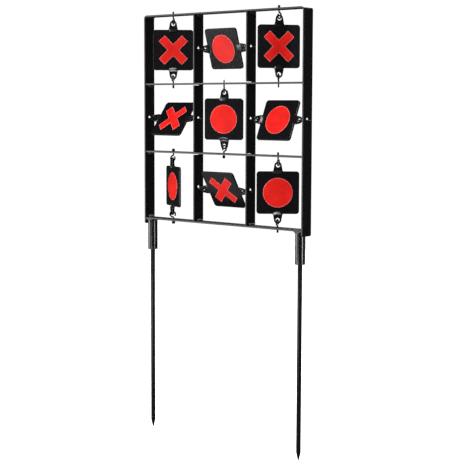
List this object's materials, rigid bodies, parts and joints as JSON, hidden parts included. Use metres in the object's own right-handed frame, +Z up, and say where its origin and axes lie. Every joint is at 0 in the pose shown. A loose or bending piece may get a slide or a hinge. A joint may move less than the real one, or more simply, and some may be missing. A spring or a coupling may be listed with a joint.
{
  "type": "spinning target frame",
  "caption": "Flat-bar grid frame on two pointed ground stakes, with square plates marked with crosses and discs that spin on wire swivel hooks.",
  "frame": {"origin": "midway between the two stake tips, at their height, in the middle of the flat bars front to back", "axes": "+X to the right seen by the players, +Y away from the players, +Z up; the players stand on the -Y side"},
  "size_m": [0.3958, 0.0616, 0.7943],
  "materials": {
    "frame_coat": "satin black powder coat on steel flat bar",
    "target_coat": "satin black powder coat on steel plate",
    "hook_coat": "satin black coat on steel wire",
    "tube_coat": "gloss black coat on steel tube",
    "stake_coat": "gloss black coat on steel rod",
    "marks": "bright red paint with a thin paler edge line"
  },
  "bodies": {
    "frame": {"outer_frame": "frame_coat", "inner_upright_left": "frame_coat", "inner_upright_right": "frame_coat", "crossbar_upper": "frame_coat", "crossbar_lower": "frame_coat", "bottom_bar": "frame_coat", "socket_tube_left": "tube_coat", "socket_tube_right": "tube_coat", "frame_welds": "frame_coat", "socket_welds": "frame_coat"},
    "left_stake": {"stake_left": "stake_coat"},
    "right_stake": {"stake_right": "stake_coat"},
    "target_1": {"plate_1": "target_coat", "marks_1": "marks", "hook_1_top": "hook_coat", "hook_1_bottom": "hook_coat"},
    "target_2": {"plate_2": "target_coat", "marks_2": "marks", "hook_2_left": "hook_coat", "hook_2_right": "hook_coat"},
    "target_3": {"plate_3": "target_coat", "marks_3": "marks", "hook_3_top": "hook_coat", "hook_3_bottom": "hook_coat"},
    "target_4": {"plate_4": "target_coat", "marks_4": "marks", "hook_4_left": "hook_coat", "hook_4_right": "hook_coat"},
    "target_5": {"plate_5": "target_coat", "marks_5": "marks", "hook_5_top": "hook_coat", "hook_5_bottom": "hook_coat"},
    "target_6": {"plate_6": "target_coat", "marks_6": "marks", "hook_6_left": "hook_coat", "hook_6_right": "hook_coat"},
    "target_7": {"plate_7": "target_coat", "marks_7": "marks", "hook_7_top": "hook_coat", "hook_7_bottom": "hook_coat"},
    "target_8": {"plate_8": "target_coat", "marks_8": "marks", "hook_8_left": "hook_coat", "hook_8_right": "hook_coat"},
    "target_9": {"plate_9": "target_coat", "marks_9": "marks", "hook_9_top": "hook_coat", "hook_9_bottom": "hook_coat"}
  },
  "joints": [
    {"name": "stake_left_pull", "type": "slide", "parent": "frame", "child": "left_stake", "axis": [0, 0, -1], "range_m": [0, 0.06]},
    {"name": "stake_right_pull", "type": "slide", "parent": "frame", "child": "right_stake", "axis": [0, 0, -1], "range_m": [0, 0.06]},
    {"name": "target_1_spin", "type": "hinge", "parent": "frame", "child": "target_1", "pos_m": [-0.127, 0, 0.7234], "axis": [0, 0, 1], "continuous": true},
    {"name": "target_2_spin", "type": "hinge", "parent": "frame", "child": "target_2", "pos_m": [0, 0, 0.72275], "axis": [1, 0, 0], "continuous": true},
    {"name": "target_3_spin", "type": "hinge", "parent": "frame", "child": "target_3", "pos_m": [0.127, 0, 0.7234], "axis": [0, 0, 1], "continuous": true},
    {"name": "target_4_spin", "type": "hinge", "parent": "frame", "child": "target_4", "pos_m": [-0.127, 0, 0.59575], "axis": [1, 0, 0], "continuous": true},
    {"name": "target_5_spin", "type": "hinge", "parent": "frame", "child": "target_5", "pos_m": [0, 0, 0.5964], "axis": [0, 0, 1], "continuous": true},
    {"name": "target_6_spin", "type": "hinge", "parent": "frame", "child": "target_6", "pos_m": [0.127, 0, 0.59575], "axis": [1, 0, 0], "continuous": true},
    {"name": "target_7_spin", "type": "hinge", "parent": "frame", "child": "target_7", "pos_m": [-0.127, 0, 0.4694], "axis": [0, 0, 1], "continuous": true},
    {"name": "target_8_spin", "type": "hinge", "parent": "frame", "child": "target_8", "pos_m": [0, 0, 0.46875], "axis": [1, 0, 0], "continuous": true},
    {"name": "target_9_spin", "type": "hinge", "parent": "frame", "child": "target_9", "pos_m": [0.127, 0, 0.4694], "axis": [0, 0, 1], "continuous": true}
  ]
}
